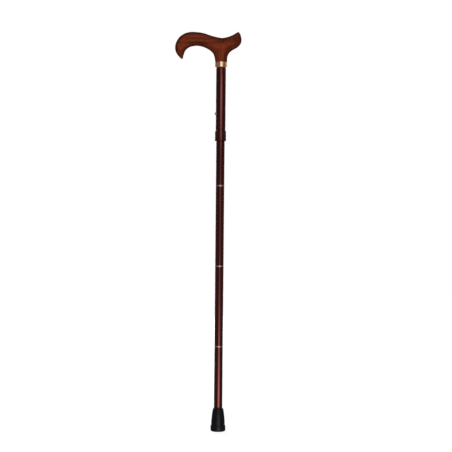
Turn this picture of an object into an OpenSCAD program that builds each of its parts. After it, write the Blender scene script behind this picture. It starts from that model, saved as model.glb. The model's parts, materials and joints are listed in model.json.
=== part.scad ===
// Folding walking cane with a carved derby handle, a push-button height setting
// and three cord-held folds. Millimetres, +Z up, origin at the centre of the foot.

/* [Tubes] */
// Outside diameter of the upper tube
upper_od = 19; // [17:0.5:22]
// Wall of the upper tube
upper_wall = 1; // [0.8:0.1:1.6]
// Wall of the adjuster tube and the lower sections
lower_wall = 1.2; // [1:0.1:1.6]
// Radial gap between the adjuster tube and the upper tube
slide_gap = 0.2; // [0.15:0.05:0.5]

/* [Lengths] */
// Height of the lowest fold above the floor
first_fold_h = 164.6; // [130:1:200]
// Length of each of the two middle sections
section_len = 156; // [120:1:200]
// Length of adjuster tube that shows below the lock collar
adjuster_show = 85.4; // [65:1:120]

/* [Height setting] */
// Distance between the height holes
hole_pitch = 25.4; // [20:0.2:30]
// Number of height holes
hole_count = 4; // [3:1:5]
// Number of holes below the one that the button stands in
holes_below_count = 1; // [0:1:2]
// Height of the lowest hole above the lock collar
first_hole_up = 7.9; // [6:0.1:14]
// Distance from the top hole up to the gold band
top_hole_down = 38.6; // [36:0.2:60]
// Angle of the row of holes from the nose towards the front
button_turn = 15; // [0:1:40]
// Diameter of the button
button_d = 6.4; // [5:0.1:7]
// Height of the button's crown above the upper tube
button_out = 2.8; // [2:0.1:3.2]
// Radial gap of the button in its holes
button_gap = 0.3; // [0.15:0.05:0.5]
// Diameter of the button's inner flange
button_flange_d = 8; // [7.2:0.1:8.4]
// Thickness of the button's inner flange
button_flange_t = 0.8; // [0.5:0.1:1]
// Thickness of the leaf spring
leaf_t = 0.6; // [0.4:0.05:0.8]
// Width of the leaf spring
leaf_w = 7; // [5:0.1:7.4]
// Distance from the button down to the leaf's bend
leaf_drop = 24; // [16:0.5:36]
// Length of leaf above the button
leaf_above = 6; // [4.5:0.1:9]

/* [Lock collar] */
// Wall of the lock collar
lock_wall = 1.35; // [1:0.05:3]
// Height of the lock collar
lock_h = 20.4; // [16:0.2:28]
// Thickness of the lip under the collet
lock_lip = 1.6; // [1.2:0.1:2.4]
// Radius of the lower outer edge
lock_edge = 2; // [1:0.1:2.2]
// Chamfer of the upper outer edge
lock_chamfer = 0.6; // [0.2:0.1:0.8]
// Number of grip grooves
lock_groove_count = 6; // [3:1:8]
// Distance between grip grooves
lock_groove_pitch = 2.05; // [1.4:0.05:2.2]
// Width of a grip groove
lock_groove_w = 1; // [0.6:0.05:1.2]
// Depth of a grip groove
lock_groove_depth = 0.28; // [0.1:0.02:0.5]
// Height of the slotted collet
collet_h = 6.4; // [5:0.1:9]
// Number of slots in the collet
collet_slots = 4; // [2:1:6]
// Width of a slot in the collet
collet_slot_w = 1.2; // [0.8:0.1:2]

/* [Folds] */
// Length of ferrule pressed into the lower section
ferrule_in = 26; // [18:0.5:34]
// Length of ferrule that enters the section above
ferrule_out = 30; // [20:0.5:38]
// Radial gap between a ferrule and its socket
ferrule_gap = 0.3; // [0.15:0.05:0.5]
// Bore of a ferrule
ferrule_bore = 8; // [6:0.2:9]
// Length of the taper at a ferrule's nose
ferrule_taper = 5; // [2:0.2:8]
// Height of one gold ring
ring_h = 1.4; // [1:0.1:2.4]
// How far a ring stands out from its tube
ring_proud = 0.15; // [0:0.05:0.4]
// Depth of the turned seat under a ring
ring_seat = 0.5; // [0.3:0.05:0.7]
// How far a ring's rounded face falls to its edges
ring_round = 0.4; // [0.1:0.05:0.5]

/* [Cord] */
// Diameter of the elastic cord
cord_d = 4; // [3:0.1:5]
// Radial gap of the cord in its anchors
cord_gap = 0.3; // [0.2:0.05:0.6]
// Diameter of the cord's end stops
stop_d = 8; // [6.5:0.1:9]
// Height of the cord's end stops
stop_h = 4.6; // [3.5:0.1:7]
// Height of a cord anchor
anchor_h = 14; // [10:0.5:20]
// Distance from a ferrule's nose up to the top anchor
anchor_up = 8; // [4:0.5:20]
// Room under the lower end stop
stop_room = 1; // [0.5:0.1:3]

/* [Rubber foot] */
// Height of the rubber foot
tip_h = 44.5; // [36:0.5:56]
// Rubber round the tube at the foot's top rim
tip_wall = 1.85; // [1.2:0.05:3.5]
// How far the foot flares out down to its base
tip_flare = 3.2; // [2:0.1:5]
// How far the base stands out past the flare
tip_step = 1.15; // [0.9:0.05:3]
// Height of the base flange
tip_base_h = 11.6; // [9:0.1:15]
// Rubber under the steel disc
tip_floor = 8; // [6:0.1:12]
// Radius of the lower outer edge
tip_edge = 2.4; // [1:0.1:4]
// Rounding of the top rim
tip_rim = 0.8; // [0.3:0.1:1]
// Thickness of the steel disc
washer_t = 1.5; // [1:0.1:2.5]
// Number of tread grooves
tread_count = 2; // [1:1:3]
// Width of a tread groove
tread_w = 1.5; // [0.8:0.1:1.8]
// Depth of a tread groove
tread_depth = 1.2; // [0.6:0.1:2.5]

/* [Gold band] */
// Wall of the gold band
band_wall = 2.05; // [1.2:0.05:3]
// Height of the gold band
band_h = 11.2; // [8:0.1:16]
// Chamfer of the band's lower edge
band_chamfer = 1.1; // [0.4:0.1:1.5]

/* [Handle] */
// Length of the handle from nose to tail
handle_len = 128; // [110:1:150]
// Height of the handle's crest above the gold band
handle_h = 57.6; // [50:0.2:68]
// Thickness of the grip
handle_w = 25; // [23:0.5:32]
// How far the neck lies inside the gold band
neck_inset = 0.1; // [0:0.05:0.6]
// Height of the plug in the upper tube
plug_h = 28; // [20:0.5:30]
// Diameter of the handle screw
screw_d = 6; // [4:0.2:7]
// Depth of the screw in the wood
screw_in = 25; // [18:0.5:27]
// Diameter of the screw's head
screw_head_d = 10.6; // [9:0.1:12]
// Height of the screw's head
screw_head_h = 3.6; // [2.5:0.1:4]

/* [Hidden] */
// Radial gap of pressed and glued seats
press_gap = 0.05;
// Radial gap of running fits
run_gap = 0.1;
// Overrun of cuts
over = 1;
$fn = 64;

// Radii of the tubes, each from the one that it fits in
upper_r = upper_od / 2;
upper_bore_r = upper_r - upper_wall;
lower_r = upper_bore_r - slide_gap;
lower_bore_r = lower_r - lower_wall;
press_r = lower_bore_r - press_gap;
ring_seat_r = lower_r - ring_seat;

// Heights, from the floor up
washer_z = tip_floor;
tip_tube_z = washer_z + washer_t;
fold_3_z = first_fold_h;
fold_2_z = fold_3_z + section_len;
fold_1_z = fold_2_z + section_len;
lock_z = fold_1_z + adjuster_show;
lock_top_z = lock_z + lock_h;
first_hole_z = lock_top_z + first_hole_up;
button_z = first_hole_z + holes_below_count * hole_pitch;
top_hole_z = first_hole_z + (hole_count - 1) * hole_pitch;
band_z = top_hole_z + top_hole_down;
neck_z = band_z + band_h;
collet_z = lock_z + lock_lip;
upper_tube_z = collet_z + collet_h;

// Glide bush on the adjuster tube, clear of the leaf below it
glide_flange = 1.5;
glide_in = 5;
glide_wall = 2;
glide_room = 1;
adjuster_top_z = button_z + leaf_above + glide_room + glide_in;

// Cord anchors and end stops
anchor_z = tip_tube_z + stop_room + stop_h;
top_anchor_z = fold_1_z + ferrule_out + anchor_up;
anchor_chamfer = 0.8;
stop_chamfer = 1;

// Button, along its own axis from the tube's centre line
crown_r = upper_r + button_out;
dome_r = button_d / 2;
dome_at = crown_r - dome_r;
hole_r = dome_r + button_gap;
flange_out = sqrt(pow(lower_bore_r, 2) - pow(button_flange_d / 2, 2)) - button_gap;
flange_at = flange_out - button_flange_t;
leaf_back = sqrt(pow(lower_bore_r, 2) - pow(leaf_w / 2, 2)) - press_gap;
leaf_bend_r = (flange_at + leaf_back) / 2;
leaf_mid = (flange_at - leaf_back) / 2;

// Lock collar
lock_bore_r = upper_r + run_gap;
lock_r = lock_bore_r + lock_wall;
lock_lip_r = lower_r + slide_gap;
groove_top_z = lock_h - lock_chamfer - lock_groove_w;

// Gold band and the neck above it
band_bore_r = upper_r + press_gap;
band_r = band_bore_r + band_wall;
neck_r = band_r - neck_inset;

// Rubber foot
tip_bore_r = lower_r + press_gap;
tip_top_r = tip_bore_r + tip_wall;
tip_waist_r = tip_top_r + tip_flare;
tip_base_r = tip_waist_r + tip_step;
tread_in_share = 0.42;
tread_out_share = 0.74;
waist_shares = [[0, 1], [0.18, 0.93], [0.4, 0.79], [0.62, 0.56], [0.82, 0.29], [1, 0]];

// Handle outline, as shares of its length and of its height above the neck:
// the crest from the nose to the tail, the underside on each side of the neck, and the spine
top_shares = [[-0.593, 0.081], [-0.616, 0.117], [-0.661, 0.222], [-0.696, 0.387], [-0.692, 0.588],
    [-0.646, 0.788], [-0.576, 0.92], [-0.482, 0.991], [-0.375, 0.992], [-0.269, 0.959],
    [-0.138, 0.867], [0, 0.804], [0.078, 0.828], [0.145, 0.876], [0.194, 0.932],
    [0.222, 0.969], [0.235, 0.987], [0.2445, 1.002], [0.254, 1.012]];
front_shares = [[-0.593, 0.081], [-0.5795, 0.112], [-0.573, 0.194], [-0.554, 0.318], [-0.53, 0.403],
    [-0.481, 0.484], [-0.427, 0.52], [-0.365, 0.533], [-0.297, 0.512], [-0.226, 0.451],
    [-0.166, 0.373], [-0.1238, 0.276], [-0.1025, 0.161]];
back_shares = [[0.0925, 0.161], [0.1145, 0.28], [0.157, 0.376], [0.236, 0.479], [0.29, 0.607],
    [0.305, 0.738], [0.293, 0.891], [0.273, 0.978], [0.254, 1.012]];
spine_shares = [[-0.5965, 0.118], [-0.6045, 0.151], [-0.617, 0.213], [-0.624, 0.359], [-0.608, 0.506],
    [-0.561, 0.636], [-0.496, 0.723], [-0.422, 0.766], [-0.336, 0.758], [-0.246, 0.706],
    [-0.133, 0.624], [0, 0.553], [0.105, 0.61], [0.184, 0.677], [0.233, 0.757],
    [0.256, 0.837], [0.263, 0.909], [0.2585, 0.963], [0.2545, 0.982]];
// Half thickness along the spine, as shares of half the grip's thickness
thick_shares = [0.36, 0.5, 0.69, 0.84, 0.93, 0.98, 1, 1, 1, 0.995,
    0.98, 0.96, 0.93, 0.87, 0.79, 0.69, 0.57, 0.46, 0.36];
// The neck's ridge falls from the spine to the band
neck_ridge_shares = [0.553, 0.366, 0.173, 0];
// Points of the front underside that lie on the neck
neck_count = 2;
neck_step_count = 9;
bar_step_count = 54;
rib_step_count = 8;

bordeaux = [0.2, 0.06, 0.05];
gold = [0.83, 0.62, 0.32];
nylon = [0.16, 0.16, 0.17];
steel = [0.7, 0.71, 0.73];
alloy = [0.78, 0.78, 0.8];

// Points on an arc about a centre
function arc(c, r, from, to, steps) =
    [for (i = [0:steps]) let (a = from + (to - from) * i / steps) c + r * [cos(a), sin(a)]];

// Smooth curve through a list of points, at u counted in points
function spline(p, u) =
    let (n = len(p) - 1, i = min(floor(u), n - 1), t = u - i)
    let (b = p[i], c = p[i + 1])
    let (a = i > 0 ? p[i - 1] : 2 * b - c, d = i + 2 > n ? 2 * c - b : p[i + 2])
    (2 * b + (c - a) * t + (2 * a - 5 * b + 4 * c - d) * t * t + (3 * b - a - 3 * c + d) * t * t * t) / 2;

module ring(inner, outer, z, h) {
    translate([0, 0, z])
        difference() {
            cylinder(r = outer, h = h);
            translate([0, 0, -over]) cylinder(r = inner, h = h + 2 * over);
        }
}

// Lower tube between two heights, with a turned seat for a gold ring at each end that has one
module section_tube(z0, z1, seat_below, seat_above) {
    low = seat_below ? [[ring_seat_r, z0], [ring_seat_r, z0 + ring_h], [lower_r, z0 + ring_h]] : [[lower_r, z0]];
    high = seat_above ? [[lower_r, z1 - ring_h], [ring_seat_r, z1 - ring_h], [ring_seat_r, z1]] : [[lower_r, z1]];
    rotate_extrude()
        polygon(concat([[lower_bore_r, z0]], low, high, [[lower_bore_r, z1]]));
}

module gold_ring(z) {
    inner = ring_seat_r + press_gap;
    edge_r = lower_r + ring_proud - ring_round;
    face = [for (p = arc([0, 0], 1, -90, 90, 8)) [edge_r + ring_round * p[0], ring_h * (1 + p[1]) / 2]];
    color(gold)
        translate([0, 0, z])
            rotate_extrude()
                polygon(concat([[inner, 0]], face, [[inner, ring_h]]));
}

// Male spigot, pressed into the section below the fold and entering the one above
module ferrule(z) {
    out_r = lower_bore_r - ferrule_gap;
    nose_r = (ferrule_bore / 2 + out_r) / 2;
    color(alloy)
        translate([0, 0, z])
            rotate_extrude()
                polygon([[ferrule_bore / 2, -ferrule_in], [press_r - anchor_chamfer, -ferrule_in],
                    [press_r, anchor_chamfer - ferrule_in], [press_r, 0], [out_r, 0],
                    [out_r, ferrule_out - ferrule_taper], [nose_r, ferrule_out], [ferrule_bore / 2, ferrule_out]]);
}

// Plug that a stopped end of the cord bears on
module cord_anchor(z) {
    hole = cord_d / 2 + cord_gap;
    color(nylon)
        translate([0, 0, z])
            rotate_extrude()
                polygon([[hole, 0], [press_r - anchor_chamfer, 0], [press_r, anchor_chamfer],
                    [press_r, anchor_h - anchor_chamfer], [press_r - anchor_chamfer, anchor_h], [hole, anchor_h]]);
}

// Turned to face along the row of height holes
module button_side() {
    rotate([0, 0, 180 + button_turn]) children();
}

module height_hole(z) {
    button_side()
        translate([0, 0, z])
            rotate([0, 90, 0])
                cylinder(r = hole_r, h = upper_r + over);
}

module rubber_tip() {
    rise = tip_h - tip_rim - tip_base_h;
    edge = arc([tip_base_r - tip_edge, tip_edge], tip_edge, -90, 0, 6);
    shoulder = arc([tip_base_r - tip_rim, tip_base_h - tip_rim], tip_rim, 0, 90, 3);
    flare = [for (i = [0:10]) let (s = spline(waist_shares, i / 2))
        [tip_top_r + tip_flare * s[1], tip_base_h + rise * s[0]]];
    rim = arc([tip_top_r - tip_rim, tip_h - tip_rim], tip_rim, 0, 90, 4);
    color([0.09, 0.09, 0.1])
        difference() {
            rotate_extrude()
                polygon(concat([[0, 0]], edge, shoulder, flare, rim, [[0, tip_h]]));
            translate([0, 0, tip_floor])
                cylinder(r = tip_bore_r, h = tip_h);
            for (i = [0:tread_count - 1]) {
                share = tread_in_share + (tread_out_share - tread_in_share) * i / max(1, tread_count - 1);
                ring(tip_base_r * share - tread_w / 2, tip_base_r * share + tread_w / 2, -over, over + tread_depth);
            }
        }
}

module tip_washer() {
    color(steel)
        translate([0, 0, washer_z])
            cylinder(r = lower_r, h = washer_t);
}

module tip_tube() {
    color(bordeaux) section_tube(tip_tube_z, fold_3_z, false, true);
}

module cord_bottom_anchor() {
    cord_anchor(anchor_z);
}

// One elastic cord with a stop crimped on each end
module elastic_cord() {
    low_z = anchor_z - stop_h;
    high_z = top_anchor_z + anchor_h;
    r = stop_d / 2;
    color([0.12, 0.12, 0.13])
        rotate_extrude()
            polygon([[0, low_z], [r - stop_chamfer, low_z], [r, low_z + stop_chamfer],
                [r, anchor_z], [cord_d / 2, anchor_z],
                [cord_d / 2, high_z], [r, high_z], [r, high_z + stop_h - stop_chamfer],
                [r - stop_chamfer, high_z + stop_h], [0, high_z + stop_h]]);
}

module ferrule_3() {
    ferrule(fold_3_z);
}

module lower_ring_3() {
    gold_ring(fold_3_z - ring_h);
}

module upper_ring_3() {
    gold_ring(fold_3_z);
}

module section_3_tube() {
    color(bordeaux) section_tube(fold_3_z, fold_2_z, true, true);
}

module ferrule_2() {
    ferrule(fold_2_z);
}

module lower_ring_2() {
    gold_ring(fold_2_z - ring_h);
}

module upper_ring_2() {
    gold_ring(fold_2_z);
}

module section_2_tube() {
    color(bordeaux) section_tube(fold_2_z, fold_1_z, true, true);
}

module ferrule_1() {
    ferrule(fold_1_z);
}

module lower_ring_1() {
    gold_ring(fold_1_z - ring_h);
}

module upper_ring_1() {
    gold_ring(fold_1_z);
}

module adjuster_tube() {
    color(bordeaux)
        difference() {
            section_tube(fold_1_z, adjuster_top_z, true, false);
            height_hole(button_z);
        }
}

module cord_top_anchor() {
    cord_anchor(top_anchor_z);
}

// Bush with a flange that runs in the upper tube
module glide_bush() {
    flange_r = upper_bore_r - run_gap;
    inner = press_r - glide_wall;
    color(nylon)
        translate([0, 0, adjuster_top_z])
            rotate_extrude()
                polygon([[inner, -glide_in], [press_r, -glide_in], [press_r, 0], [flange_r, 0],
                    [flange_r, glide_flange], [inner, glide_flange]]);
}

// Spring clip: a U-shaped leaf with one leg on the tube's far wall and the button staked to the other
module snap_button() {
    leg = leaf_drop + leaf_above;
    color([0.8, 0.66, 0.36])
        button_side() {
            translate([leaf_mid, 0, button_z - leaf_drop])
                rotate([90, 0, 0])
                    linear_extrude(leaf_w, center = true) {
                        translate([leaf_bend_r - leaf_t, 0]) square([leaf_t, leg]);
                        translate([-leaf_bend_r, 0]) square([leaf_t, leg]);
                        difference() {
                            circle(leaf_bend_r);
                            circle(leaf_bend_r - leaf_t);
                            translate([-leaf_bend_r - over, 0])
                                square([2 * (leaf_bend_r + over), leaf_bend_r + over]);
                        }
                    }
            translate([0, 0, button_z])
                rotate([0, 90, 0]) {
                    translate([0, 0, flange_at]) cylinder(d = button_flange_d, h = button_flange_t);
                    translate([0, 0, flange_at - leaf_t]) cylinder(d = button_d, h = dome_at - flange_at + leaf_t);
                    translate([0, 0, dome_at]) sphere(r = dome_r);
                }
        }
}

// Slotted ring that the lock collar presses onto the adjuster tube
module collet_bush() {
    color(nylon)
        difference() {
            ring(lower_r + run_gap, upper_r, collet_z, collet_h);
            for (i = [0:collet_slots - 1])
                rotate([0, 0, 360 * i / collet_slots])
                    translate([0, -collet_slot_w / 2, collet_z - over])
                        cube([lock_r, collet_slot_w, collet_h / 2 + over]);
        }
}

// Ring nut with grip grooves, a rounded lower edge and an inner lip
module lock_collar() {
    edge = arc([lock_r - lock_edge, lock_edge], lock_edge, -90, 0, 6);
    grooves = [for (i = [lock_groove_count - 1:-1:0]) let (z = groove_top_z - i * lock_groove_pitch)
        each [[lock_r, z - lock_groove_w / 2], [lock_r - lock_groove_depth, z], [lock_r, z + lock_groove_w / 2]]];
    crest = [[lock_r, lock_h - lock_chamfer], [lock_r - lock_chamfer, lock_h]];
    inside = [[lock_bore_r, lock_h], [lock_bore_r, lock_lip], [lock_lip_r, lock_lip], [lock_lip_r, 0]];
    color([0.22, 0.07, 0.06])
        translate([0, 0, lock_z])
            rotate_extrude()
                polygon(concat(edge, grooves, crest, inside));
}

module upper_tube() {
    color(bordeaux)
        difference() {
            ring(upper_bore_r, upper_r, upper_tube_z, neck_z - upper_tube_z);
            for (i = [0:hole_count - 1])
                height_hole(first_hole_z + i * hole_pitch);
        }
}

module handle_collar() {
    color(gold)
        translate([0, 0, band_z])
            rotate_extrude()
                polygon([[band_bore_r, 0], [band_r - band_chamfer, 0], [band_r, band_chamfer],
                    [band_r, band_h], [band_bore_r, band_h]]);
}

module handle_plug() {
    color([0.62, 0.45, 0.28])
        ring(screw_d / 2 + press_gap, upper_bore_r - press_gap, neck_z - plug_h, plug_h);
}

module handle_screw() {
    head_z = neck_z - plug_h - screw_head_h;
    color(steel) {
        translate([0, 0, head_z]) cylinder(d = screw_head_d, h = screw_head_h);
        translate([0, 0, head_z]) cylinder(d = screw_d, h = screw_head_h + plug_h + screw_in);
    }
}

// Carved handle: from each point of the spine a quarter ellipse runs out to the outline,
// so the two faces swell between the crest and the underside and flow round into the neck
function handle_point(s) = [s[0] * handle_len, s[1] * handle_h];
function rib(from, to, thick, side) =
    [for (j = [0:rib_step_count]) let (a = 90 * j / rib_step_count, p = from + (to - from) * sin(a))
        [p[0], side * thick * cos(a), p[1]]];
function skin(ribs, flip) =
    [for (i = [0:len(ribs) - 2], j = [0:rib_step_count - 1])
        let (a = ribs[i][j], b = ribs[i + 1][j], c = ribs[i + 1][j + 1], d = ribs[i][j + 1])
        each flip ? [[a, b, c], [a, c, d]] : [[c, b, a], [d, c, a]]];
function cap(edge, flip) =
    [for (j = [0:rib_step_count - 1]) flip ? [edge[j + 1], edge[j], [0, 0, 0]] : [edge[j], edge[j + 1], [0, 0, 0]]];

module handle() {
    half = handle_w / 2;
    last = len(spine_shares) - 1;
    station = len(front_shares) - neck_count;
    top = [for (s = top_shares) handle_point(s)];
    spine = [for (s = spine_shares) handle_point(s)];
    front = concat([for (s = front_shares) handle_point(s)], [[-neck_r, 0]]);
    back = concat([[neck_r, 0]], [for (s = back_shares) handle_point(s)]);
    thick = thick_shares * half;
    back_neck = len(back) - 1 - (last - station);
    ridge = [for (s = neck_ridge_shares) [0, s * handle_h]];
    ridge_last = len(ridge) - 1;
    bar = [for (i = [0:bar_step_count]) last * i / bar_step_count];
    stem = [for (i = [0:neck_step_count]) i / neck_step_count];
    nose_bar = [for (u = bar) if (u <= station) u];
    tail_bar = [for (i = [bar_step_count:-1:0]) if (bar[i] >= station) bar[i]];
    shell = [for (side = [-1, 1])
        let (top_ribs = [for (u = bar) rib(spline(spine, u), spline(top, u), spline(thick, u), side)],
            nose_ribs = [for (u = nose_bar) rib(spline(spine, u), spline(front, u), spline(thick, u), side)],
            tail_ribs = [for (u = tail_bar) rib(spline(spine, u),
                spline(back, u - station + back_neck), spline(thick, u), side)],
            neck_t = function (v) thick[station] + (neck_r - thick[station]) * sin(90 * v),
            front_ribs = [for (v = stem) rib(spline(ridge, ridge_last * v),
                spline(front, station + neck_count * v), neck_t(v), side)],
            back_ribs = [for (v = stem) rib(spline(ridge, ridge_last * v),
                spline(back, back_neck * (1 - v)), neck_t(v), side)])
        each concat(skin(top_ribs, side > 0), skin(nose_ribs, side < 0), skin(tail_ribs, side > 0),
            skin(front_ribs, side < 0), skin(back_ribs, side > 0),
            cap(front_ribs[neck_step_count], side < 0), cap(back_ribs[neck_step_count], side > 0))];
    color([0.42, 0.17, 0.1])
        translate([0, 0, neck_z])
            difference() {
                polyhedron(points = [for (t = shell) each t],
                    faces = [for (i = [0:len(shell) - 1]) [3 * i, 3 * i + 1, 3 * i + 2]], convexity = 6);
                translate([0, 0, -over]) cylinder(r = screw_d / 2 + press_gap, h = over + screw_in);
            }
}

rubber_tip();
tip_washer();
tip_tube();
cord_bottom_anchor();
elastic_cord();
ferrule_3();
lower_ring_3();
upper_ring_3();
section_3_tube();
ferrule_2();
lower_ring_2();
upper_ring_2();
section_2_tube();
ferrule_1();
lower_ring_1();
upper_ring_1();
adjuster_tube();
cord_top_anchor();
glide_bush();
snap_button();
collet_bush();
lock_collar();
upper_tube();
handle_collar();
handle_plug();
handle_screw();
handle();
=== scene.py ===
import json
import math

import bmesh
import bpy
import numpy as np
from mathutils import Matrix, Vector


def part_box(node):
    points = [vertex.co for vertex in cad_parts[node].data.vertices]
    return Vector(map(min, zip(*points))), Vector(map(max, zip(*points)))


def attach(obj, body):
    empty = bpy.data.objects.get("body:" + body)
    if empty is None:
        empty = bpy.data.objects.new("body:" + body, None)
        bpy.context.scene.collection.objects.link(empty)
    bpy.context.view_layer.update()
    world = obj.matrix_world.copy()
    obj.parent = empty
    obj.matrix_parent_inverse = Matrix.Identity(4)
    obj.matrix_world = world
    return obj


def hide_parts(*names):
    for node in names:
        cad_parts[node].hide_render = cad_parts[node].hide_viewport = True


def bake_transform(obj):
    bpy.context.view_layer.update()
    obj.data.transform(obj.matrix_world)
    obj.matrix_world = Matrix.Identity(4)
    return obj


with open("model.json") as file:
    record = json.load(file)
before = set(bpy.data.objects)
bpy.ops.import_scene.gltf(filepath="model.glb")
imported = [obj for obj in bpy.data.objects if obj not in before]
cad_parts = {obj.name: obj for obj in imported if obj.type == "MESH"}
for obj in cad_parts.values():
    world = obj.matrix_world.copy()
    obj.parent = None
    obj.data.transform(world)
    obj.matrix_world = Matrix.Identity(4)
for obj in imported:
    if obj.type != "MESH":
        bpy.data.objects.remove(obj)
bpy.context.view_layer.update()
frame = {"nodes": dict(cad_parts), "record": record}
nodes = frame["nodes"]
scene = bpy.context.scene
scene.view_settings.view_transform = "Standard"

# camera: about half way up the cane, nearly level, turned half a degree so that the cane leans
shot = {"back": 2.2, "height": 0.425, "aside": 0.0122, "pitch": 0.69, "roll": 0.517,
        "sensor": 36, "lens": 90.3}

cameraData = bpy.data.cameras.new("camera")
cameraData.sensor_fit = "HORIZONTAL"
cameraData.sensor_width = shot["sensor"]
cameraData.lens = shot["lens"]
camera = bpy.data.objects.new("camera", cameraData)
scene.collection.objects.link(camera)
camera.matrix_world = (
    Matrix.Translation((shot["aside"], -shot["back"], shot["height"]))
    @ Matrix.Rotation(math.radians(90 - shot["pitch"]), 4, "X")
    @ Matrix.Rotation(math.radians(shot["roll"]), 4, "Z")
)
scene.camera = camera
print("camera set")


class Wire:
    # a shader socket: the usual signs add Math nodes to it, and node() adds any other kind
    def __init__(self, tree, socket=None):
        self.tree = tree
        self.socket = socket

    def node(self, kind, settings=None, sockets=None, out=0):
        made = self.tree.nodes.new("ShaderNode" + kind)
        for key, value in (settings or {}).items():
            if key == "stops":
                ramp = made.color_ramp
                while len(ramp.elements) < len(value):
                    ramp.elements.new(0.5)
                for stop, (at, colour) in zip(ramp.elements, value):
                    stop.position = at
                    stop.color = colour
            else:
                setattr(made, key, value)
        for key, value in (sockets or {}).items():
            if isinstance(value, Wire):
                self.tree.links.new(value.socket, made.inputs[key])
            else:
                made.inputs[key].default_value = value
        return Wire(self.tree, made.outputs[out] if len(made.outputs) else None)

    def maths(self, operation, *others):
        return self.node("Math", {"operation": operation}, dict(enumerate((self,) + others)))

    def __add__(self, other):
        return self.maths("ADD", other)

    __radd__ = __add__

    def __sub__(self, other):
        return self.maths("SUBTRACT", other)

    def __rsub__(self, other):
        return self.node("Math", {"operation": "SUBTRACT"}, {0: other, 1: self})

    def __mul__(self, other):
        return self.maths("MULTIPLY", other)

    def __truediv__(self, other):
        return self.maths("DIVIDE", other)

    def __abs__(self):
        return self.maths("ABSOLUTE")


def tint(red, green, blue):  # screen colour 0-255 to the shader's own scale
    share = np.array((red, green, blue)) / 255
    linear = np.where(share <= 0.04045, share / 12.92, ((share + 0.055) / 1.055) ** 2.4)
    return (*linear.tolist(), 1)


def grey(level):
    return (level, level, level, 1)


def newFinish(name, plain):  # plain holds the values that are the same all over
    made = bpy.data.materials.new(name)
    made.use_nodes = True
    shader = made.node_tree.nodes["Principled BSDF"]
    for key, value in plain.items():
        shader.inputs[key].default_value = value
    return made, Wire(made.node_tree).node("TexCoord", out="Object")


shaderInputs = {"colour": "Base Color", "rough": "Roughness", "coat": "Coat Weight", "normal": "Normal"}


def drive(made, **wires):  # links what changes over the surface
    shader = made.node_tree.nodes["Principled BSDF"]
    for key, wire in wires.items():
        made.node_tree.links.new(wire.socket, shader.inputs[shaderInputs[key]])


def noise(place, scale, detail=2, rough=0.5, stretch=(1, 1, 1)):
    at = place.node("Mapping", {}, {"Vector": place, "Scale": stretch})
    return place.node("TexNoise", {}, {"Vector": at, "Scale": scale, "Detail": detail, "Roughness": rough})


def spread(wire, low, high, to0=0.0, to1=1.0):  # smooth step from low..high to to0..to1
    sockets = {"Value": wire, "From Min": low, "From Max": high, "To Min": to0, "To Max": to1}
    return wire.node("MapRange", {"interpolation_type": "SMOOTHSTEP"}, sockets)


def mixed(share, first, second):
    return share.node("Mix", {"data_type": "RGBA"}, {0: share, 6: first, 7: second}, out=2)


def bump(height, depth):
    return height.node("Bump", {}, {"Height": height, "Distance": depth, "Strength": 1.0})


def axes(place):
    outputs = place.node("SeparateXYZ", {}, {0: place}).socket.node.outputs
    return [Wire(place.tree, outputs[i]) for i in range(3)]


# where most of a noise's values lie
noiseSpan = (0.3, 0.7)

# bordeaux metallic lacquer on drawn tube: fine flake, long draw lines, rubbed ends, light scuffs,
# and painted shade where it meets the next piece; each noise is scale, detail, roughness and stretch,
# and each painted shade line is height and half height
tubePaint = {
    "base": (87, 24, 18), "deep": (79, 21, 15), "flake": (108, 42, 36),
    "bare": (150, 120, 112), "paintedShadeColour": (26, 8, 8),
    "metal": 0.97, "rough": 0.17, "roughSwing": 0.02, "scuffRough": 0.02,
    "coat": 0.5, "coatRough": 0.15, "coatIor": 1.5, "scuffDull": 0.05, "relief": 0.000004, "lineRelief": 0.6,
    "flakeNoise": (5200, 1, 0.5), "lineNoise": (900, 2, 0.6, (1, 1, 0.012)),
    "cloudNoise": (26, 3, 0.55, (1, 1, 0.4)), "scuffNoise": (160, 5, 0.62, (1, 1, 0.2)),
    "cloudShare": 0.6, "deepFrom": (0.38, 0.62), "flakeFrom": (0.58, 0.72, 0, 0.15), "scuffFrom": (0.6, 0.74),
    "rubReach": (0.0005, 0.0035), "bareShare": 0.5, "paintedShadeShare": 0.9,
    "ends": [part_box("upper_ring_%d" % k)[0].z for k in (3, 2, 1)] + [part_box("upper_tube")[0].z],
    "paintedShade": [(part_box("rubber_tip")[1].z + 0.0012, 0.0016), (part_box("handle_collar")[0].z - 0.0006, 0.0009)],
}
# the lock collar's lacquer, with painted shade along its lower edge
collarPaint = {**tubePaint, "ends": [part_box("lock_collar")[1].z],
               "paintedShade": [(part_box("lock_collar")[0].z, 0.0022)]}


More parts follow.
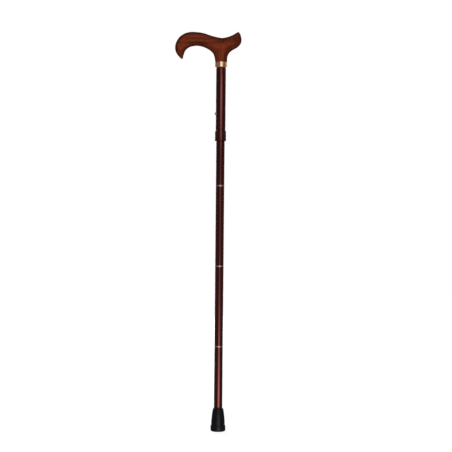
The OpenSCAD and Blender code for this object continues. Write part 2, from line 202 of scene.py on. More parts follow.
def makeTubePaint(name, paint):
    plain = {"Metallic": paint["metal"], "Coat Roughness": paint["coatRough"], "Coat IOR": paint["coatIor"]}
    made, place = newFinish(name, plain)
    z = axes(place)[2]
    flake = noise(place, *paint["flakeNoise"])
    lines = noise(place, *paint["lineNoise"])
    cloud = noise(place, *paint["cloudNoise"])
    scuff = spread(noise(place, *paint["scuffNoise"]), *paint["scuffFrom"])
    rub = sum(spread(abs(z - end), *paint["rubReach"], 1, 0) for end in paint["ends"])
    paintedShade = sum(spread(abs(z - at), tall / 3, tall, paint["paintedShadeShare"], 0) for at, tall in paint["paintedShade"])
    shade = cloud * paint["cloudShare"] + lines * (1 - paint["cloudShare"])
    colour = mixed(spread(shade, *paint["deepFrom"]), tint(*paint["deep"]), tint(*paint["base"]))
    colour = mixed(spread(flake, *paint["flakeFrom"]), colour, tint(*paint["flake"]))
    thin = rub * scuff * paint["bareShare"]  # lacquer worn beside each tube end
    colour = mixed(thin, colour, tint(*paint["bare"]))
    # painted shade: dark lines where the tube meets the next piece, with less coat there
    colour = mixed(paintedShade, colour, tint(*paint["paintedShadeColour"]))
    rough, swing = paint["rough"], paint["roughSwing"]
    relief = lines * paint["lineRelief"] + flake * (1 - paint["lineRelief"])
    drive(made, colour=colour, coat=(paint["coat"] - scuff * paint["scuffDull"]) * (1 - paintedShade),
          rough=spread(lines, *noiseSpan, rough - swing, rough + swing) + scuff * paint["scuffRough"],
          normal=bump(relief, paint["relief"]))
    return made


# polished gold-coloured brass with fine turning marks round it, browner where it has been handled
goldWear = {"turnNoise": (1500, 3, 0.6, (0.03, 0.03, 1)), "tarnishNoise": (210, 4, 0.55),
            "tarnishFrom": (0.46, 0.74), "tarnishRough": 0.08,
            "smoother": 0.05, "rougher": 0.06, "relief": 0.000008}
bandWork = {"base": (238, 198, 166), "worn": (206, 152, 114), "rough": 0.17, "metal": 1.0,
            "seam": (58, 34, 20), "seamTall": 0.0011, "seamShare": 0.85,
            "seamTop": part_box("handle_collar")[1].z}
ringWork = {"base": (188, 164, 155), "worn": (166, 142, 133), "rough": 0.2, "metal": 1.0}
buttonWork = {"base": (236, 224, 212), "worn": (220, 206, 192), "rough": 0.24, "metal": 0.9,
              "paintedShadeColour": (70, 56, 48), "paintedShadeReach": (0.0101, 0.0107)}


def makeGold(name, work, wear):
    made, place = newFinish(name, {"Metallic": work["metal"]})
    x, y, z = axes(place)
    turned = noise(place, *wear["turnNoise"])
    tarnish = spread(noise(place, *wear["tarnishNoise"]), *wear["tarnishFrom"])
    colour = mixed(tarnish, tint(*work["base"]), tint(*work["worn"]))
    if "seam" in work:  # darker along the top edge, next to the wood
        seam = spread(work["seamTop"] - z, work["seamTall"] / 3, work["seamTall"], work["seamShare"], 0)
        colour = mixed(seam, colour, tint(*work["seam"]))
    if "paintedShadeColour" in work:  # painted shade round the root, where the button comes out of the tube; none on the crown
        away = (x * x + y * y).maths("SQRT")
        colour = mixed(spread(away, *work["paintedShadeReach"]), tint(*work["paintedShadeColour"]), colour)
    low, high = work["rough"] - wear["smoother"], work["rough"] + wear["rougher"]
    drive(made, colour=colour, normal=bump(turned, wear["relief"]),
          rough=spread(turned, *noiseSpan, low, high) + tarnish * wear["tarnishRough"])
    return made


# moulded black rubber: fine grain, grey bloom, dust and scuffs round the base
rubberWork = {
    "base": (14, 14, 17), "bloom": (24, 24, 28), "dust": (80, 77, 72), "shine": 0.13,
    "rough": 0.32, "smoother": 0.06, "rougher": 0.08, "dustRough": 0.15,
    "relief": 0.00006, "grainRelief": 0.6,
    "grainNoise": (2600, 2, 0.6), "cloudNoise": (120, 4, 0.6), "scuffNoise": (420, 4, 0.65, (1, 1, 0.35)),
    "bloomFrom": (0.45, 0.75, 0, 0.7), "scuffFrom": (0.56, 0.72),
    "dustTall": 0.0022, "dustWaver": 0.004, "dustThin": 0.12, "dustScuffed": 0.4,
}


def makeRubber(name, work):
    made, place = newFinish(name, {"Specular IOR Level": work["shine"]})
    z = axes(place)[2]
    grain = noise(place, *work["grainNoise"])
    cloud = noise(place, *work["cloudNoise"])
    scuff = spread(noise(place, *work["scuffNoise"]), *work["scuffFrom"])
    low = spread(z + cloud * work["dustWaver"], work["dustTall"], work["dustTall"] * 3, 1, 0)
    colour = mixed(spread(cloud, *work["bloomFrom"]), tint(*work["base"]), tint(*work["bloom"]))
    colour = mixed(low * (work["dustThin"] + scuff * work["dustScuffed"]), colour, tint(*work["dust"]))
    smooth, rough = work["rough"] - work["smoother"], work["rough"] + work["rougher"]
    relief = grain * work["grainRelief"] + cloud * (1 - work["grainRelief"])
    drive(made, colour=colour, normal=bump(relief, work["relief"]),
          rough=spread(cloud, *noiseSpan, smooth, rough) + low * work["dustRough"])
    return made


# stained wood under satin lacquer: straight grain that runs level along the bar, lifts over the neck
# and fans down it, with open pores, and painted shade that darkens it towards the outline
woodWork = {
    "light": (120, 51, 27), "mid": (95, 39, 22), "dark": (58, 23, 14),
    "pore": (36, 14, 9), "outlineShade": (44, 18, 11),
    "tones": [(0.4, "dark"), (0.5, "mid"), (0.6, "light")],
    "rough": 0.46, "smoother": 0.05, "rougher": 0.06, "poreRough": 0.1, "shine": 0.0,
    "coat": 0.03, "coatRough": 0.3, "poreDull": 0.02,
    "relief": 0.00005, "fibreRelief": 0.4, "poreRelief": 0.8,
    # cycles per metre along and across the grain, then the noise's detail and roughness
    "figure": (6, 70, 3, 0.5), "streak": (8, 310, 3, 0.6),
    "fibre": (42, 2300, 3, 0.6), "pores": (170, 2700, 1, 0.5),
    "figureShare": 0.3, "streakShare": 0.48, "fibreShare": 0.22,
    "streakFrom": (0.58, 0.72, 0, 0.55), "poreFrom": (0.6, 0.7), "poreShare": 0.6,
    # where the grain turns down the neck, and how its streaks spread apart above the neck's straight part
    "foot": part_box("handle")[0].z, "neckHigh": (0.034, 0.026),
    "neckMiddle": 0.003, "neckWide": (0.033, 0.018),
    "fanLow": 0.006, "fanSpread": 2170, "shift": (11.3, 10.6),
    "lift": [(-0.016, 0.012, 0.001), (0.012, 0.036, 0.0065)],  # from x, to x, rise
    "crest": (0.42, 1.0, 0, 0.76), "edge": (0.66, 1.0, 0, 0.5), "crestEnd": (1.0, 1.01),
    # height, half height, middle, half length, how much paler
    "bands": [(0.0358, 0.0032, -0.028, 0.042, -0.055), (0.0407, 0.0026, -0.04, 0.034, 0.03),
              (0.0465, 0.0018, -0.045, 0.024, 0.015), (0.0322, 0.002, -0.05, 0.03, -0.02),
              (0.0275, 0.0046, -0.002, 0.015, 0.05), (0.03, 0.003, -0.077, 0.01, 0.05),
              (0.0235, 0.004, -0.077, 0.009, 0.05), (0.036, 0.016, 0.034, 0.012, -0.045)],
    "bandFade": 0.6,
}


def makeWood(name, work):
    made, place = newFinish(name, {"Specular IOR Level": work["shine"], "Coat Roughness": work["coatRough"]})
    x, y, z = axes(place)
    high = z - work["foot"]
    level = high - sum(spread(x, begin, end, 0, rise) for begin, end, rise in work["lift"])
    neck = spread(high, *work["neckHigh"]) * spread(abs(x - work["neckMiddle"]), *work["neckWide"])
    over = (high - work["fanLow"]).maths("MAXIMUM", 0.0)
    fan = x / (over * over * work["fanSpread"] + 1)

    def grain(lengthwise, crosswise, detail, rough):  # the same figure along the bar and down the neck
        runs = []
        for run, side, shift in zip((x, high), (level, fan), work["shift"]):
            sockets = {0: run * lengthwise, 1: side * crosswise, 2: y * crosswise + shift}
            runs.append(noise(place.node("CombineXYZ", {}, sockets), 1, detail, rough))
        bar, stem = runs
        return bar + (stem - bar) * neck

    figure = grain(*work["figure"])
    streak = grain(*work["streak"])
    fibre = grain(*work["fibre"])
    pores = spread(grain(*work["pores"]), *work["poreFrom"])
    tone = figure * work["figureShare"] + streak * work["streakShare"] + fibre * work["fibreShare"]
    for height, tall, middle, wide, paler in work["bands"]:
        lengthwise = spread(abs(x - middle), wide * work["bandFade"], wide, paler, 0)
        tone = tone + spread(abs(level - height), 0, tall, 1, 0) * lengthwise
    stops = [(at, tint(*work[key])) for at, key in work["tones"]]
    colour = place.node("ValToRGB", {"stops": stops}, {"Fac": tone})
    colour = mixed(spread(streak, *work["streakFrom"]), colour, tint(*work["dark"]))
    colour = mixed(pores * work["poreShare"], colour, tint(*work["pore"]))
    outward, along = axes(place.node("TexCoord", out="UV"))[:2]
    # painted shade: darker towards the outline, most along the top crest
    crest = spread(outward, *work["crest"])
    edge = spread(outward, *work["edge"])
    outlineShade = crest + (edge - crest) * spread(along, *work["crestEnd"])
    colour = mixed(outlineShade, colour, tint(*work["outlineShade"]))
    smooth, rough = work["rough"] - work["smoother"], work["rough"] + work["rougher"]
    relief = fibre * work["fibreRelief"] - pores * work["poreRelief"]
    drive(made, colour=colour, coat=work["coat"] - pores * work["poreDull"],
          rough=spread(fibre, *noiseSpan, smooth, rough) + pores * work["poreRough"],
          normal=bump(relief, work["relief"]))
    return made


# black nylon inside: moulded grain and paler clouds
nylonWork = {"base": (38, 38, 40), "paler": 16, "cloudNoise": (140, 3), "cloudFrom": (0.4, 0.7),
             "grainNoise": (1900, 3, 0.6), "rough": (0.42, 0.58), "relief": 0.00004}


def makeNylon(name, work):
    made, place = newFinish(name, {})
    grain = noise(place, *work["grainNoise"])
    pale = tint(*(c + work["paler"] for c in work["base"]))
    cloud = spread(noise(place, *work["cloudNoise"]), *work["cloudFrom"])
    drive(made, colour=mixed(cloud, tint(*work["base"]), pale),
          rough=spread(grain, *noiseSpan, *work["rough"]), normal=bump(grain, work["relief"]))
    return made


# turned alloy and zinc steel inside: marks round the axis, rubbed darker in places
turnedWear = {"turnNoise": (1900, 3, 0.6, (0.02, 0.02, 1)), "rubNoise": (90, 4, 0.6, (1, 1, 0.2)),
              "rubFrom": (0.5, 0.72), "darker": 0.8, "smoother": 0.08, "rougher": 0.1, "relief": 0.00003}
alloyWork = {"base": (196, 197, 200), "rough": 0.3}
steelWork = {"base": (168, 171, 176), "rough": 0.35}


def makeTurned(name, work, wear):
    made, place = newFinish(name, {"Metallic": 1.0})
    turned = noise(place, *wear["turnNoise"])
    rub = spread(noise(place, *wear["rubNoise"]), *wear["rubFrom"])
    dark = tint(*(int(c * wear["darker"]) for c in work["base"]))
    low, high = work["rough"] - wear["smoother"], work["rough"] + wear["rougher"]
    drive(made, colour=mixed(rub, tint(*work["base"]), dark),
          rough=spread(turned, *noiseSpan, low, high), normal=bump(turned, wear["relief"]))
    return made


# bare beech inside, with its fibre along the tube
beechWork = {"base": (176, 132, 92), "darker": 0.72, "fibreNoise": (1100, 4, 0.6, (1, 1, 0.04)),
             "fibreFrom": (0.35, 0.65), "rough": (0.5, 0.7), "relief": 0.00006}


def makeBeech(name, work):
    made, place = newFinish(name, {})
    fibre = noise(place, *work["fibreNoise"])
    dark = tint(*(int(c * work["darker"]) for c in work["base"]))
    drive(made, colour=mixed(spread(fibre, *work["fibreFrom"]), tint(*work["base"]), dark),
          rough=spread(fibre, *noiseSpan, *work["rough"]), normal=bump(fibre, work["relief"]))
    return made


# braided elastic: two families of strands over the piece's own map
cordWork = {"base": (24, 24, 26), "fleck": (70, 70, 74), "strands": 8, "fleckFrom": (0.5, 1.0, 0, 0.6),
            "roughFrom": (0.2, 1.0, 0.95, 0.75), "relief": 0.0003}


def makeCord(name, work):
    made, place = newFinish(name, {})
    u, v = axes(place.node("TexCoord", out="UV"))[:2]
    turns = math.tau * work["strands"]
    left = ((u + v) * turns).maths("SINE")
    right = ((u - v) * turns).maths("SINE")
    weave = left.maths("MAXIMUM", right) * 0.5 + 0.5
    colour = mixed(spread(weave, *work["fleckFrom"]), tint(*work["base"]), tint(*work["fleck"]))
    drive(made, colour=colour, rough=spread(weave, *work["roughFrom"]), normal=bump(weave, work["relief"]))
    return made


finishes = {
    "tube": makeTubePaint("tubeLacquer", tubePaint),
    "collar": makeTubePaint("collarLacquer", collarPaint),
    "band_gold": makeGold("polishedGold", bandWork, goldWear),
    "ring_gold": makeGold("paleGold", ringWork, goldWear),
    "button_brass": makeGold("paleBrass", buttonWork, goldWear),
    "rubber": makeRubber("mouldedRubber", rubberWork),
    "wood": makeWood("stainedWood", woodWork),
    "nylon": makeNylon("blackNylon", nylonWork),
    "alloy": makeTurned("turnedAlloy", alloyWork, turnedWear),
    "steel": makeTurned("zincSteel", steelWork, turnedWear),
    "plug_wood": makeBeech("beechPlug", beechWork),
    "cord": makeCord("braidedElastic", cordWork),
}
finishes["upper_tube"] = finishes["tube"]
for part in frame["record"]["subparts"]:
    mesh = nodes[part["node"]].data
    mesh.materials.clear()
    mesh.materials.append(finishes[part["material_slot"]])
print("finishes:", len(finishes))

# distances in metres under which points are one point and an edge is no edge
weld = {"points": 1e-6, "edges": 1e-7}


def gridFaces(rows, columns, offset=0):  # quads over a rows x columns sheet of points
    at = offset + np.arange(rows * columns).reshape(rows, columns)
    return np.stack((at[:-1, :-1], at[1:, :-1], at[1:, 1:], at[:-1, 1:]), -1).reshape(-1, 4)


def addPiece(name, sheets, slot, maps=None):  # sheets: arrays rows x columns x 3, each map rows x columns x 2
    faces, count = [], 0
    for sheet in sheets:
        rows, columns = sheet.shape[:2]
        faces.append(gridFaces(rows, columns, count))
        count += rows * columns
    points = np.concatenate([sheet.reshape(-1, 3) for sheet in sheets])
    faces = np.concatenate(faces)
    mesh = bpy.data.meshes.new(name)
    mesh.from_pydata(points.tolist(), [], faces.tolist())
    if maps is not None:
        corners = np.concatenate([part.reshape(-1, 2) for part in maps])
        layer = mesh.uv_layers.new(name="UVMap")
        layer.data.foreach_set("uv", corners[faces.reshape(-1)].astype(np.float32).ravel())
    work = bmesh.new()
    work.from_mesh(mesh)
    bmesh.ops.remove_doubles(work, verts=work.verts, dist=weld["points"])
    bmesh.ops.dissolve_degenerate(work, edges=work.edges, dist=weld["edges"])
    bmesh.ops.recalc_face_normals(work, faces=work.faces)
    work.to_mesh(mesh)
    work.free()
    mesh.polygons.foreach_set("use_smooth", np.ones(len(mesh.polygons), bool))
    mesh.materials.append(finishes[slot])
    piece = bpy.data.objects.new(name, mesh)
    scene.collection.objects.link(piece)
    return piece


# carved handle: from each point of the spine a quarter ellipse runs out to the outline;
# outlines and spine are shares of length and height, half is a share of half the thickness
handleWork = {
    "length": 0.128, "height": 0.0576, "thick": 0.025, "neck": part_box("handle")[0].z, "neckRadius": 0.0115,
    "barSteps": 216, "ribSteps": 26, "neckSteps": 48, "neckPoint": 11, "slack": 1e-9,
    "top": [(-0.593, 0.081), (-0.616, 0.117), (-0.661, 0.222), (-0.696, 0.387), (-0.692, 0.588),
            (-0.646, 0.788), (-0.576, 0.92), (-0.482, 0.991), (-0.375, 0.992), (-0.269, 0.959),
            (-0.138, 0.867), (0, 0.804), (0.078, 0.828), (0.145, 0.876), (0.194, 0.932),
            (0.222, 0.969), (0.235, 0.987), (0.2445, 1.002), (0.254, 1.012)],
    "front": [(-0.593, 0.081), (-0.5795, 0.112), (-0.573, 0.194), (-0.554, 0.318), (-0.53, 0.403),
              (-0.481, 0.484), (-0.427, 0.52), (-0.365, 0.533), (-0.297, 0.512), (-0.226, 0.451),
              (-0.166, 0.373), (-0.1238, 0.276), (-0.1025, 0.161)],
    "back": [(0.0925, 0.161), (0.1145, 0.28), (0.157, 0.376), (0.236, 0.479), (0.29, 0.607),
             (0.305, 0.738), (0.293, 0.891), (0.273, 0.978), (0.254, 1.012)],
    "spine": [(-0.5965, 0.118), (-0.6045, 0.151), (-0.617, 0.213), (-0.624, 0.359), (-0.608, 0.506),
              (-0.561, 0.636), (-0.496, 0.723), (-0.422, 0.766), (-0.336, 0.758), (-0.246, 0.706),
              (-0.133, 0.624), (0, 0.553), (0.105, 0.61), (0.184, 0.677), (0.233, 0.757),
              (0.256, 0.837), (0.263, 0.909), (0.2585, 0.963), (0.2545, 0.982)],
    "half": [0.36, 0.5, 0.69, 0.84, 0.93, 0.98, 1, 1, 1, 0.995,
             0.98, 0.96, 0.93, 0.87, 0.79, 0.69, 0.57, 0.46, 0.36],
    "ridge": [0.553, 0.366, 0.173, 0],
}


def curveThrough(points, at):  # Catmull-Rom curve through the points, at counted in points
    points = np.asarray(points, float)
    points = points.reshape(len(points), -1)
    last = len(points) - 1
    index = np.minimum(np.floor(at).astype(int), last - 1)
    t = (at - index)[:, None]
    padded = np.concatenate((2 * points[:1] - points[1:2], points, 2 * points[-1:] - points[-2:-1]))
    a, b, c, d = (padded[index + k] for k in range(4))
    return (2 * b + (c - a) * t + (2 * a - 5 * b + 4 * c - d) * t ** 2 + (3 * b - a - 3 * c + d) * t ** 3) / 2


def makeHandle(work):
    scale = np.array((work["length"], work["height"]))
    foot = np.array((work["neckRadius"], 0))
    top = np.array(work["top"]) * scale
    spine = np.array(work["spine"]) * scale
    front = np.concatenate((np.array(work["front"]) * scale, [-foot]))
    back = np.concatenate(([foot], np.array(work["back"]) * scale))
    half = np.array(work["half"]) * work["thick"] / 2
    ridge = np.stack((np.zeros(len(work["ridge"])), np.array(work["ridge"]) * work["height"]), -1)
    last, station = len(spine) - 1, work["neckPoint"]
    frontNeck = len(front) - 1 - station
    backNeck = len(back) - 1 - (last - station)
    a = np.linspace(0, math.pi / 2, work["ribSteps"] + 1)

    def ribs(start, end, thick):  # point = start + (end - start) sin a, y = thick cos a
        flat = start[:, None] + (end - start)[:, None] * np.sin(a)[None, :, None]
        return np.stack((flat[..., 0], thick[:, None] * np.cos(a), flat[..., 1] + work["neck"]), -1)

    def barRibs(at, outline):  # ribs of the bar, from the spine to the points of one outline
        return ribs(curveThrough(spine, at), outline, curveThrough(half, at)[:, 0])

    bar = np.linspace(0, last, work["barSteps"] + 1)
    nose = bar[bar <= station + work["slack"]]
    tail = bar[bar >= station - work["slack"]]
    stem = np.linspace(0, 1, work["neckSteps"] + 1)
    neckHalf = half[station] + (work["neckRadius"] - half[station]) * np.sin(stem * math.pi / 2)
    ridgeLine = curveThrough(ridge, stem * (len(ridge) - 1))
    strips = [
        barRibs(bar, curveThrough(top, bar)),
        barRibs(nose, curveThrough(front, nose)),
        barRibs(tail, curveThrough(back, tail - station + backNeck)),
        ribs(ridgeLine, curveThrough(front, station + frontNeck * stem), neckHalf),
        ribs(ridgeLine, curveThrough(back, backNeck * (1 - stem)), neckHalf),
    ]
    mouth = np.array((0, 0, work["neck"]))
    for strip in strips[3:]:  # flat end on the band
        strips.append(np.stack((np.broadcast_to(mouth, strip[-1].shape), strip[-1]), 0))
    sheets = [strip * (1, side, 1) for side in (1, -1) for strip in strips]
    # map: u is 0 on the spine and 1 on the outline, v is 0 to 1 along the crest and 2 to 3 elsewhere
    crests = (0, len(strips))
    maps = []
    for k, sheet in enumerate(sheets):
        v = np.linspace(0, 1, len(sheet)) + (0 if k in crests else 2)
        maps.append(np.stack(np.meshgrid(np.sin(a), v), -1))
    piece = addPiece("carvedHandle", sheets, "wood", maps)
    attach(piece, "upper")
    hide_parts("handle")
    return piece


handle = makeHandle(handleWork)
print("handle:", len(handle.data.polygons), "faces")


def lathe(profile, turns):  # profile of (radius, height) carried round the axis
    profile = np.array(profile, float)
    angle = np.linspace(0, math.tau, turns + 1)
    height = np.repeat(profile[:, 1:], turns + 1, 1)
    return np.stack((profile[:, :1] * np.cos(angle), profile[:, :1] * np.sin(angle), height), -1)


# elastic cord: one length across each fold
cordPiece = {"radius": 0.002, "stop": 0.004, "stopTall": 0.0046, "edge": 0.0008, "lip": 0.0002,
             "held": 0.004, "pitch": 0.0125, "turns": 28, "rowsPerM": 700}


def cordStop(work, z, way):  # profile of an end stop from the cord outwards, way -1 below and 1 above
    wide, tall, edge, lip = (work[key] for key in ("stop", "stopTall", "edge", "lip"))
    return [(wide - lip, z), (wide, z + way * lip), (wide, z + way * (tall - edge)),
            (wide - edge, z + way * tall), (0, z + way * tall)]


def makeCordLength(name, work, low, high, lowBody, highBody, stopLow, stopHigh):
    heights = np.linspace(low, high, int((high - low) * work["rowsPerM"]))
    below = cordStop(work, low, -1)[::-1] if stopLow else [(0, low)]
    above = cordStop(work, high, 1) if stopHigh else [(0, high)]
    sheet = lathe(below + [(work["radius"], z) for z in heights] + above, work["turns"])
    rows, columns = sheet.shape[:2]
    around = np.broadcast_to(np.linspace(0, 1, columns), (rows, columns))
    piece = addPiece(name, [sheet], "cord", [np.stack((around, sheet[..., 2] / work["pitch"] / 2), -1)])
    low + work["held"]
    high - work["held"]
    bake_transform(piece)
    return piece


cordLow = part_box("cord_bottom_anchor")[0].z
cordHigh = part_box("cord_top_anchor")[1].z
folds = [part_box("upper_ring_%d" % k)[0].z for k in (3, 2, 1)]
cordCuts = [cordLow, (folds[0] + folds[1]) / 2, (folds[1] + folds[2]) / 2, cordHigh]
cordBodies = ["tip_section", "section_3", "section_2", "adjuster"]
cordNames = ["cordLow", "cordMiddle", "cordHigh"]
for k, cordName in enumerate(cordNames):
    ends = (cordCuts[k], cordCuts[k + 1], cordBodies[k], cordBodies[k + 1])
    makeCordLength(cordName, cordPiece, *ends, k == 0, k == len(cordNames) - 1)
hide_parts("elastic_cord")

# snap button and its leaf: the button slides in with its body, the leaf is one piece that stays where it is
# built
clip = {"turn": 195, "height": 0.6157, "crown": 0.0123, "dome": 0.0032, "domePoints": 15, "turns": 48,
        "flange": 0.004, "flangeAt": 0.004766, "flangeTall": 0.0008, "flangeEdge": 0.00015,
        "leafThick": 0.0006, "leafWide": 0.007, "leafBack": -0.006127, "leafEdge": 0.0001,
        "drop": 0.024, "above": 0.006, "legPoints": 24, "bendPoints": 33}


def clipFrame(work):  # button axis to +X of its own frame
    return Matrix.Translation((0, 0, work["height"])) @ Matrix.Rotation(math.radians(work["turn"]), 4, "Z")


def placed(sheet, matrix):
    grid = np.array(matrix)
    return sheet @ grid[:3, :3].T + grid[:3, 3]


def makeButton(work):
    crown, dome, flange, edge = (work[key] for key in ("crown", "dome", "flange", "flangeEdge"))
    base = work["flangeAt"]
    top = base + work["flangeTall"]
    arc = np.linspace(0, math.pi / 2, work["domePoints"])
    ball = [(dome * math.cos(t), crown - dome + dome * math.sin(t)) for t in arc]
    profile = [(0, base), (flange - edge, base), (flange, base + edge),
               (flange, top - edge), (flange - edge, top), (dome, top)] + ball
    sheet = lathe(profile, work["turns"])[..., [2, 1, 0]] * (1, 1, -1)  # turned so that it stands along +X
    piece = addPiece("snapButton", [placed(sheet, clipFrame(work))], "button_brass")
    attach(piece, "button")
    return piece


def makeLeaf(work):
    front, back, thick, edge = (work[key] for key in ("flangeAt", "leafBack", "leafThick", "leafEdge"))
    drop, above, count = work["drop"], work["above"], work["legPoints"]
    radius, middle = (front - back) / 2 - thick / 2, (front + back) / 2
    bend = np.linspace(0, math.pi, work["bendPoints"])
    path = np.concatenate((
        np.stack((np.full(count, middle + radius), np.linspace(above, -drop, count)), -1),
        np.stack((middle + radius * np.cos(bend), -drop - radius * np.sin(bend)), -1)[1:-1],
        np.stack((np.full(count, middle - radius), np.linspace(-drop, above, count)), -1)))
    along = np.gradient(path, axis=0)
    along /= np.linalg.norm(along, axis=1)[:, None]
    out = np.stack((-along[:, 1], along[:, 0]), -1)
    w, t = work["leafWide"] / 2, thick / 2
    section = np.array([(-w + edge, -t), (w - edge, -t), (w, -t + edge), (w, t - edge),
                        (w - edge, t), (-w + edge, t), (-w, t - edge), (-w, -t + edge), (-w + edge, -t)])
    flat = path[:, None] + out[:, None] * section[None, :, 1:]
    sheet = np.stack((flat[..., 0], np.broadcast_to(section[:, 0], flat.shape[:2]), flat[..., 1]), -1)
    sheets = [sheet]
    for k in (0, -1):  # closed at both ends
        sheets.append(np.stack((np.broadcast_to(sheet[k].mean(0), sheet[k].shape), sheet[k]), 0))
    matrix = clipFrame(work)
    piece = addPiece("buttonLeaf", [placed(part, matrix) for part in sheets], "steel")
    still = matrix @ Vector((middle - radius + thick, 0, 0))
    moving = matrix @ Vector((middle + radius - thick, 0, 0))
    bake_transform(piece)


button = makeButton(clip)
makeLeaf(clip)
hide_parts("snap_button")
print("button and leaf made")

# floor, world and lamps
studio = {"floor": 8.0, "glow": (0.87, 1.0), "glowFar": (0.3, 1.3),
          "paper": 0.4, "bounce": 0.25, "ambient": 0.09,
          "keyEnergy": 49, "keyAt": (0.12, -2.2, 0.45), "fillEnergy": 46, "fillAt": (-0.7, 2.2, 0.7),
          "lampSize": 0.9, "aim": (0, 0, 0.45)}


def seenDirectly(wire):  # camera, glossy and transmission rays
    rays = wire.node("LightPath").socket.node.outputs
    names = ("Is Camera Ray", "Is Glossy Ray", "Is Transmission Ray")
    seen, glossy, through = (Wire(wire.tree, rays[name]) for name in names)
    return seen.maths("MAXIMUM", glossy).maths("MAXIMUM", through)


def plainMaterial(name):
    made = bpy.data.materials.new(name)
    made.use_nodes = True
    made.node_tree.nodes.clear()
    return made, Wire(made.node_tree)


def addStage(name, points, faces, made):
    mesh = bpy.data.meshes.new(name)
    mesh.from_pydata(points, [], faces)
    mesh.materials.append(made)
    item = bpy.data.objects.new(name, mesh)
    scene.collection.objects.link(item)
    return item


def makeFloor(work):
    made, start = plainMaterial("paleFloor")
    paper = start.node("BsdfDiffuse", {}, {"Color": grey(work["bounce"])})
    x, y = axes(start.node("TexCoord", out="Object"))[:2]
    away = (x * x + y * y).maths("SQRT")
    light = spread(away, *work["glowFar"], *work["glow"])  # fades into the white behind
    glow = start.node("Emission", {}, {"Color": light, "Strength": 1.0})
    shade = start.node("BsdfDiffuse", {}, {"Color": grey(work["paper"])})
    white = start.node("AddShader", {}, {0: glow, 1: shade})
    surface = start.node("MixShader", {}, {0: seenDirectly(start), 1: paper, 2: white})
    start.node("OutputMaterial", {}, {"Surface": surface})
    side = work["floor"] / 2
    points = [(-side, -side, 0), (side, -side, 0), (side, side, 0), (-side, side, 0)]
    floor = addStage("floor", points, [(0, 1, 2, 3)], made)
    floor.visible_glossy = False


def makeWorld(work):
    world = bpy.data.worlds.new("studio")
    scene.world = world
    world.use_nodes = True
    world.node_tree.nodes.clear()
    start = Wire(world.node_tree)
    soft = start.node("Background", {}, {"Color": grey(1), "Strength": work["ambient"]})
    white = start.node("Background", {}, {"Color": grey(1), "Strength": 1.0})
    surface = start.node("MixShader", {}, {0: seenDirectly(start), 1: soft, 2: white})
    start.node("OutputWorld", {}, {"Surface": surface})


def makeLamp(name, energy, place, work):
    data = bpy.data.lights.new(name, "AREA")
    data.shape = "SQUARE"
    data.size = work["lampSize"]
    data.energy = energy
    lamp = bpy.data.objects.new(name, data)
    scene.collection.objects.link(lamp)
    lamp.location = place
    lamp.rotation_euler = (Vector(work["aim"]) - Vector(place)).to_track_quat("-Z", "Y").to_euler()
    lamp.visible_glossy = False  # the cards are what shines


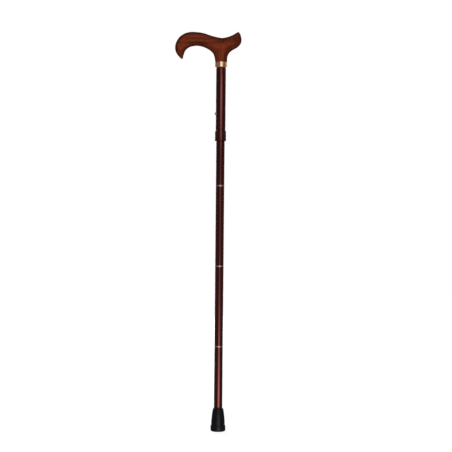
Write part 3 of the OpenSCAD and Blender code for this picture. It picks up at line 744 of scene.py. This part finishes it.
# cards that the lacquer and the gold mirror, on arcs about the cane: turns are in degrees, 0 towards
# the camera and + to its right, levels are height and brightness, and rim is where the level behind
# the cane sets in, and that level; bandCard and sideCard are for the gold band's front and right end
bandWarm = (0.26, 0.165, 0.105)
cards = {
    "darkCard": {"far": 1.6, "turns": (-180, 180), "rim": (-0.3, 0.9, 0.2),
                 "levels": [(-2.5, 0.24), (0.42, 0.23), (0.56, 0.18), (0.82, 0.18), (0.9, bandWarm),
                            (1.0, bandWarm), (1.2, 0.18), (3.0, 0.18)]},
    "stripCard": {"far": 1.2, "turns": (-21, 43),
                  "levels": [(-2, 3.4), (-0.19, 3.2), (-0.144, 5.37), (-0.08, 3.58), (-0.023, 3.17),
                             (0.053, 2.16), (0.158, 1.21), (0.28, 0.8), (0.4, 0.7), (0.5, 1.06),
                             (0.595, 0.37), (0.652, 1.29), (0.7, 1.5), (0.74, 2.65), (0.8, 3.34),
                             (0.85, 0.9)]},
    "bandCard": {"far": 1.2, "turns": (-21, 15),
                 "levels": [(0.852, 1.3), (1.0, 1.1), (1.2, 2.2), (2.4, 2.2)]},
    "sideCard": {"far": 1.2, "turns": (90, 160), "levels": [(0.852, 1.1), (0.93, 1.1)]},
    "backCard": {"far": 1.2, "turns": (-200, -160),
                 "levels": [(-2.0, 4.0), (0.5, 3.6), (0.75, 3.6), (0.85, 1.2), (2.4, 1.6)]},
}
cardColumns = 65


def makeCard(name, work):
    far, levels, rim = work["far"], work["levels"], work.get("rim")
    fromTurn, toTurn = work["turns"]
    turn = np.radians(np.linspace(fromTurn, toTurn, cardColumns))
    low, high = levels[0][0], levels[-1][0]
    edges = [(0, low), (far, low), (far, high), (0, high)] if rim else [(far, low), (far, high)]
    arcs = [np.stack((r * np.sin(turn), -r * np.cos(turn), np.full(cardColumns, z)), -1) for r, z in edges]
    made, start = plainMaterial(name)
    x, y, z = axes(start.node("TexCoord", out="Object"))
    top = float(max(np.max(level) for at, level in levels))
    stops = []
    for at, level in levels:
        stops.append(((at - low) / (high - low), (*(np.broadcast_to(level, 3) / top).tolist(), 1)))
    shade = start.node("ValToRGB", {"stops": stops}, {"Fac": (z - low) / (high - low)})
    if rim:  # one even level behind the cane, so that the tubes' edges stay dark
        begin, end, level = rim
        shade = mixed(spread(y / far, begin, end), shade, grey(level / top))
    else:  # fades towards its sides, so that what it lights has no hard edge
        middle, half = math.radians(fromTurn + toTurn) / 2, math.radians(toTurn - fromTurn) / 2
        facing = (x * math.sin(middle) - y * math.cos(middle)) / far
        shade = mixed(spread(facing, math.cos(half), 1), grey(0), shade)
    surface = start.node("Emission", {}, {"Color": shade, "Strength": top})
    start.node("OutputMaterial", {}, {"Surface": surface})
    made.cycles.emission_sampling = "NONE" if rim else "FRONT_BACK"
    points = np.concatenate(arcs).tolist()
    card = addStage(name, points, gridFaces(len(edges), cardColumns).tolist(), made)
    for ray in ("camera", "diffuse", "shadow", "transmission", "volume_scatter"):
        setattr(card, "visible_" + ray, False)


makeFloor(studio)
makeWorld(studio)
makeLamp("softKey", studio["keyEnergy"], studio["keyAt"], studio)
makeLamp("softFill", studio["fillEnergy"], studio["fillAt"], studio)
for cardName, card in cards.items():
    makeCard(cardName, card)
print("studio set:", len(cards), "cards")
